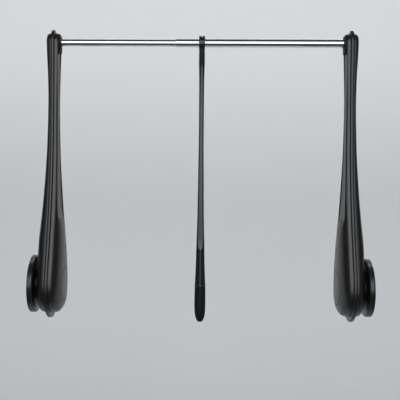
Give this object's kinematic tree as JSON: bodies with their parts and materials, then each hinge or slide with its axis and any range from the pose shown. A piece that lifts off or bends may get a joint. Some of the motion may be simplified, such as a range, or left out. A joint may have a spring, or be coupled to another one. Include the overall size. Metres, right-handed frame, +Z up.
{
  "type": "pull down closet rod",
  "caption": "Wardrobe lift: sprung arms on wall flanges carry a telescopic chrome rail that swings forward and down by a hanging pull handle.",
  "frame": {"origin": "middle of the left flange's wall face, on the axis that the arms swing about", "axes": "+X along the rail to the right wall, -Y towards the person who pulls, +Z up"},
  "size_m": [0.9, 0.166, 0.7817],
  "materials": {
    "satin_black_plastic": "fine satin moulded black",
    "deep_black_plastic": "matte moulded black",
    "rubber_grip": "soft black rubber",
    "black_steel": "black coated steel screw",
    "chrome": "polished chrome plated steel tube",
    "zinc_steel": "zinc plated steel",
    "spring_steel": "oiled spring wire",
    "nylon": "natural white nylon"
  },
  "bodies": {
    "left_base": {"left_wall_plate": "zinc_steel", "left_base_cover": "satin_black_plastic", "left_hub_ring": "deep_black_plastic", "left_pivot_shaft": "zinc_steel", "left_fixed_gear": "zinc_steel", "left_shaft_nut": "zinc_steel"},
    "left_arm": {"left_arm_spine": "satin_black_plastic", "left_spine_bush": "nylon", "left_outer_shell": "satin_black_plastic", "left_inner_shell": "satin_black_plastic", "left_pivot_cap": "satin_black_plastic", "left_inlay_strip": "deep_black_plastic", "left_lower_shell_screw": "black_steel", "left_upper_shell_screw": "black_steel", "left_guide_block": "nylon", "left_lift_spring": "spring_steel", "left_damper_cylinder": "zinc_steel", "left_rail_socket": "deep_black_plastic", "inner_tube": "chrome", "inner_tube_plug": "nylon"},
    "left_spring_rod": {"left_spring_rack": "zinc_steel", "left_spring_cap": "nylon"},
    "left_damper_rod": {"left_damper_rack": "zinc_steel"},
    "right_base": {"right_wall_plate": "zinc_steel", "right_base_cover": "satin_black_plastic", "right_hub_ring": "deep_black_plastic", "right_pivot_shaft": "zinc_steel", "right_fixed_gear": "zinc_steel", "right_shaft_nut": "zinc_steel"},
    "right_arm": {"right_arm_spine": "satin_black_plastic", "right_spine_bush": "nylon", "right_outer_shell": "satin_black_plastic", "right_inner_shell": "satin_black_plastic", "right_pivot_cap": "satin_black_plastic", "right_inlay_strip": "deep_black_plastic", "right_lower_shell_screw": "black_steel", "right_upper_shell_screw": "black_steel", "right_guide_block": "nylon", "right_lift_spring": "spring_steel", "right_damper_cylinder": "zinc_steel", "right_rail_socket": "deep_black_plastic", "outer_tube": "chrome"},
    "right_spring_rod": {"right_spring_rack": "zinc_steel", "right_spring_cap": "nylon"},
    "right_damper_rod": {"right_damper_rack": "zinc_steel"},
    "handle_slider": {"handle_bush": "nylon"},
    "handle": {"handle_head": "satin_black_plastic", "handle_dowel": "zinc_steel", "handle_shaft": "satin_black_plastic", "grip_collar": "satin_black_plastic", "grip": "rubber_grip"}
  },
  "joints": [
    {"name": "arm_swing", "type": "hinge", "parent": "left_base", "child": "left_arm", "pos_m": [0, 0, 0], "axis": [1, 0, 0], "range_deg": [0, 105], "stiffness_Nm_per_rad": 12, "springref_deg": -28.65},
    {"name": "rail_extension", "type": "slide", "parent": "left_arm", "child": "right_arm", "axis": [1, 0, 0], "range_m": [-0.27, 0.09]},
    {"name": "right_base_turn", "type": "hinge", "parent": "right_arm", "child": "right_base", "pos_m": [0.9, 0, 0], "axis": [1, 0, 0], "range_deg": [-105, 0]},
    {"name": "left_spring_rack_slide", "type": "slide", "parent": "left_arm", "child": "left_spring_rod", "axis": [0, 0, 1], "range_m": [-0.0275, 0], "deforming": ["left_lift_spring"]},
    {"name": "left_damper_rack_slide", "type": "slide", "parent": "left_arm", "child": "left_damper_rod", "axis": [0, 0, 1], "range_m": [0, 0.0275]},
    {"name": "right_spring_rack_slide", "type": "slide", "parent": "right_arm", "child": "right_spring_rod", "axis": [0, 0, 1], "range_m": [-0.0275, 0], "deforming": ["right_lift_spring"]},
    {"name": "right_damper_rack_slide", "type": "slide", "parent": "right_arm", "child": "right_damper_rod", "axis": [0, 0, 1], "range_m": [0, 0.0275]},
    {"name": "handle_slide", "type": "slide", "parent": "right_arm", "child": "handle_slider", "axis": [1, 0, 0], "range_m": [-0.05, 0.32]},
    {"name": "handle_swing", "type": "hinge", "parent": "handle_slider", "child": "handle", "pos_m": [0.451, 0, 0.65], "axis": [1, 0, 0], "range_deg": [-120, 60]}
  ],
  "couplings": [
    {"joint": "right_base_turn", "follows": "arm_swing", "ratio": -1},
    {"joint": "left_spring_rack_slide", "follows": "arm_swing", "m_per_rad": -0.015},
    {"joint": "left_damper_rack_slide", "follows": "arm_swing", "m_per_rad": 0.015},
    {"joint": "right_spring_rack_slide", "follows": "arm_swing", "m_per_rad": -0.015},
    {"joint": "right_damper_rack_slide", "follows": "arm_swing", "m_per_rad": 0.015}
  ]
}
